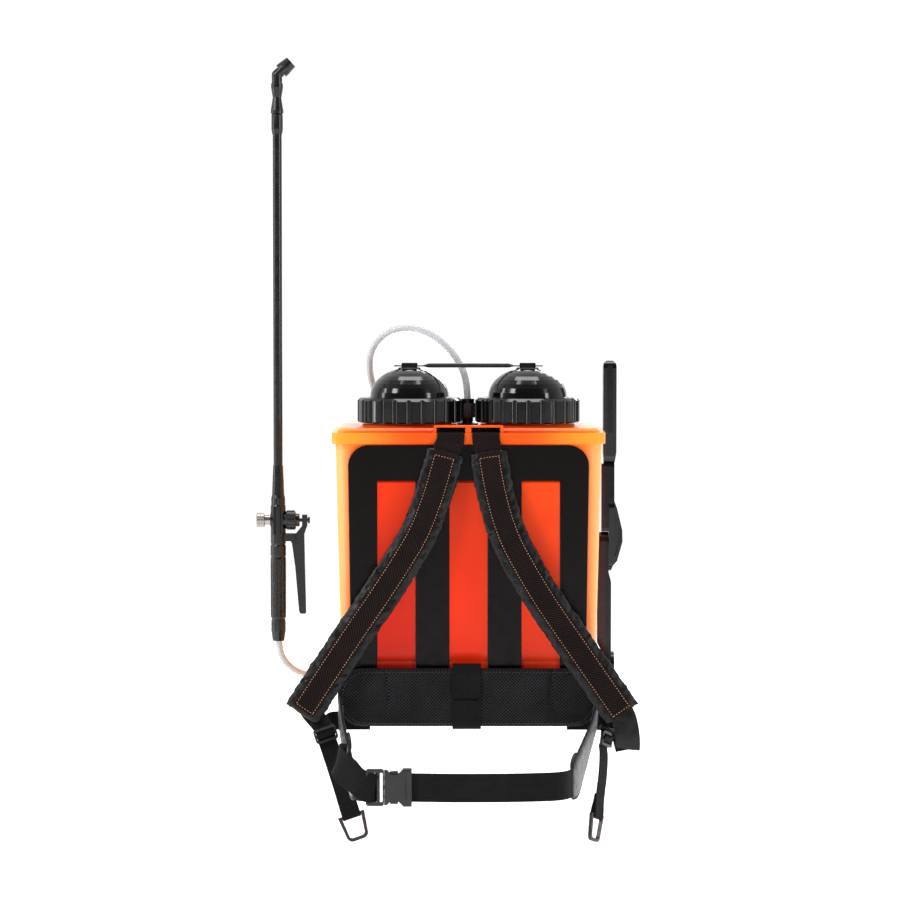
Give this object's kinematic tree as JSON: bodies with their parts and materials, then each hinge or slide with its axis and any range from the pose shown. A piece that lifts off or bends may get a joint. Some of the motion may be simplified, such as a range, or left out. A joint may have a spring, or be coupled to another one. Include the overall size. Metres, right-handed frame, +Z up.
{
  "type": "backpack sprayer",
  "caption": "Backpack sprayer: orange tank with domed screw caps, side lever pump, padded straps and waist belt, hose, trigger handle and long lance.",
  "frame": {"origin": "middle of the lumbar pad's wearer-side face, where the pack rests on a back", "axes": "+X to the pump lever's side, +Y back through the tank, away from the wearer, +Z up"},
  "size_m": [0.5216, 0.3821, 1.0567],
  "materials": {
    "tank_plastic": "glossy translucent orange polyethylene",
    "panel_plastic": "glossy black moulding",
    "cap_plastic": "polished black moulding",
    "pump_plastic": "natural moulded plastic",
    "steel": "bright steel",
    "nickel": "nickel plate, knurled",
    "seal_rubber": "black rubber",
    "lever_plastic": "semi-gloss black",
    "lance_plastic": "semi-gloss black",
    "hose_plastic": "clear braided hose",
    "strap_fabric": "padded black nylon with bound edges",
    "webbing": "woven black webbing",
    "mesh_fabric": "black spacer mesh",
    "buckle_plastic": "satin black acetal"
  },
  "bodies": {
    "root": {"tank_body": "tank_plastic", "tank_deck": "tank_plastic", "back_panel": "panel_plastic", "strap_anchor_bar": "steel", "filler_strainer": "pump_plastic", "cap_gaskets": "seal_rubber", "pump_flange": "pump_plastic", "pump_dome": "cap_plastic", "cap_link_strap": "webbing", "air_chamber": "pump_plastic", "pump_cylinder": "pump_plastic", "delivery_ball": "steel", "shaft_bush": "pump_plastic", "outlet_pipe": "pump_plastic", "outlet_fitting": "lance_plastic", "outlet_hose_nut": "lance_plastic", "lance_collet_nut": "lance_plastic", "valve_body": "lance_plastic", "valve_plug": "nickel", "valve_bonnet": "lance_plastic", "trigger_pin": "lance_plastic", "lance_grip": "lance_plastic", "handle_hose_nut": "lance_plastic", "hose": "hose_plastic", "lumbar_pad": "mesh_fabric", "ladder_locks": "buckle_plastic", "adjuster_webbings": "webbing", "belt_webbing_left": "webbing", "belt_webbing_right": "webbing", "buckle_socket": "buckle_plastic", "buckle_plug": "buckle_plastic", "shoulder_pad_left": "strap_fabric", "shoulder_pad_right": "strap_fabric", "shoulder_webbing_left": "webbing", "shoulder_webbing_right": "webbing", "belt_wing_left": "mesh_fabric", "belt_wing_right": "mesh_fabric"},
    "filler_lid": {"filler_dome": "cap_plastic"},
    "filler_nut": {"filler_ring_nut": "cap_plastic"},
    "pump_nut": {"pump_ring_nut": "cap_plastic"},
    "shaft": {"pump_shaft": "steel", "crank_arm": "steel", "lever_arm": "lever_plastic", "fold_pin": "lever_plastic"},
    "piston": {"piston": "pump_plastic", "piston_seal": "seal_rubber", "inlet_ball": "steel"},
    "lever": {"upper_lever": "lever_plastic", "lever_grip": "lever_plastic"},
    "lance": {"lance_tube": "lance_plastic", "tip_adapter": "lance_plastic", "nozzle_elbow": "lance_plastic"},
    "nozzle": {"nozzle_cap": "lance_plastic", "nozzle_tip": "lance_plastic"},
    "trigger": {"trigger_lever": "lance_plastic"},
    "stem": {"valve_stem": "lance_plastic"},
    "prong_upper": {"buckle_prong_upper": "buckle_plastic"},
    "prong_lower": {"buckle_prong_lower": "buckle_plastic"},
    "ring_left": {"pull_ring_left": "buckle_plastic"},
    "ring_right": {"pull_ring_right": "buckle_plastic"}
  },
  "joints": [
    {"name": "filler_lid_lift", "type": "slide", "parent": "root", "child": "filler_lid", "axis": [0, 0, 1], "range_m": [0, 0.035], "deforming": ["cap_link_strap"]},
    {"name": "filler_nut_turn", "type": "hinge", "parent": "filler_lid", "child": "filler_nut", "pos_m": [-0.081, 0.119, 0.384], "axis": [0, 0, 1], "range_deg": [0, 540]},
    {"name": "pump_nut_turn", "type": "hinge", "parent": "root", "child": "pump_nut", "pos_m": [0.081, 0.119, 0.384], "axis": [0, 0, 1], "range_deg": [0, 540]},
    {"name": "pump_stroke", "type": "hinge", "parent": "root", "child": "shaft", "pos_m": [0.194, 0.159, 0.027], "axis": [1, 0, 0], "range_deg": [-20, 20]},
    {"name": "piston_slide", "type": "slide", "parent": "root", "child": "piston", "axis": [0, 0, 1], "range_m": [-0.0138, 0.0138]},
    {"name": "lever_fold", "type": "hinge", "parent": "shaft", "child": "lever", "pos_m": [0.194, 0.159, 0.197], "axis": [1, 0, 0], "range_deg": [0, 90]},
    {"name": "lance_swivel", "type": "hinge", "parent": "root", "child": "lance", "pos_m": [-0.262, 0.119, 0.28], "axis": [0, 0, 1], "range_deg": [-180, 180]},
    {"name": "nozzle_turn", "type": "hinge", "parent": "lance", "child": "nozzle", "pos_m": [-0.262, 0.119, 0.842], "axis": [0.7431, 0, 0.6691], "range_deg": [0, 270]},
    {"name": "trigger_pull", "type": "hinge", "parent": "root", "child": "trigger", "pos_m": [-0.2415, 0.119, 0.208], "axis": [0, 1, 0], "range_deg": [0, 9], "stiffness_Nm_per_rad": 0.8, "springref_deg": -6.88},
    {"name": "stem_travel", "type": "slide", "parent": "root", "child": "stem", "axis": [1, 0, 0], "range_m": [0, 0.004]},
    {"name": "prong_upper_press", "type": "slide", "parent": "root", "child": "prong_upper", "axis": [0, 0, -1], "range_m": [0, 0.003], "stiffness_N_per_m": 300, "springref_m": -0.001},
    {"name": "prong_lower_press", "type": "slide", "parent": "root", "child": "prong_lower", "axis": [0, 0, 1], "range_m": [0, 0.003], "stiffness_N_per_m": 300, "springref_m": -0.001},
    {"name": "ring_left_swing", "type": "hinge", "parent": "root", "child": "ring_left", "pos_m": [-0.157, -0.018, -0.156], "axis": [0.9334, 0.1984, 0.2992], "range_deg": [-70, 70]},
    {"name": "ring_right_swing", "type": "hinge", "parent": "root", "child": "ring_right", "pos_m": [0.172, -0.018, -0.156], "axis": [0.4497, 0.8457, -0.2873], "range_deg": [-70, 70]}
  ],
  "couplings": [
    {"joint": "piston_slide", "follows": "pump_stroke", "m_per_rad": -0.0392},
    {"joint": "stem_travel", "follows": "trigger_pull", "m_per_rad": 0.0236},
    {"joint": "prong_lower_press", "follows": "prong_upper_press", "ratio": 1}
  ]
}
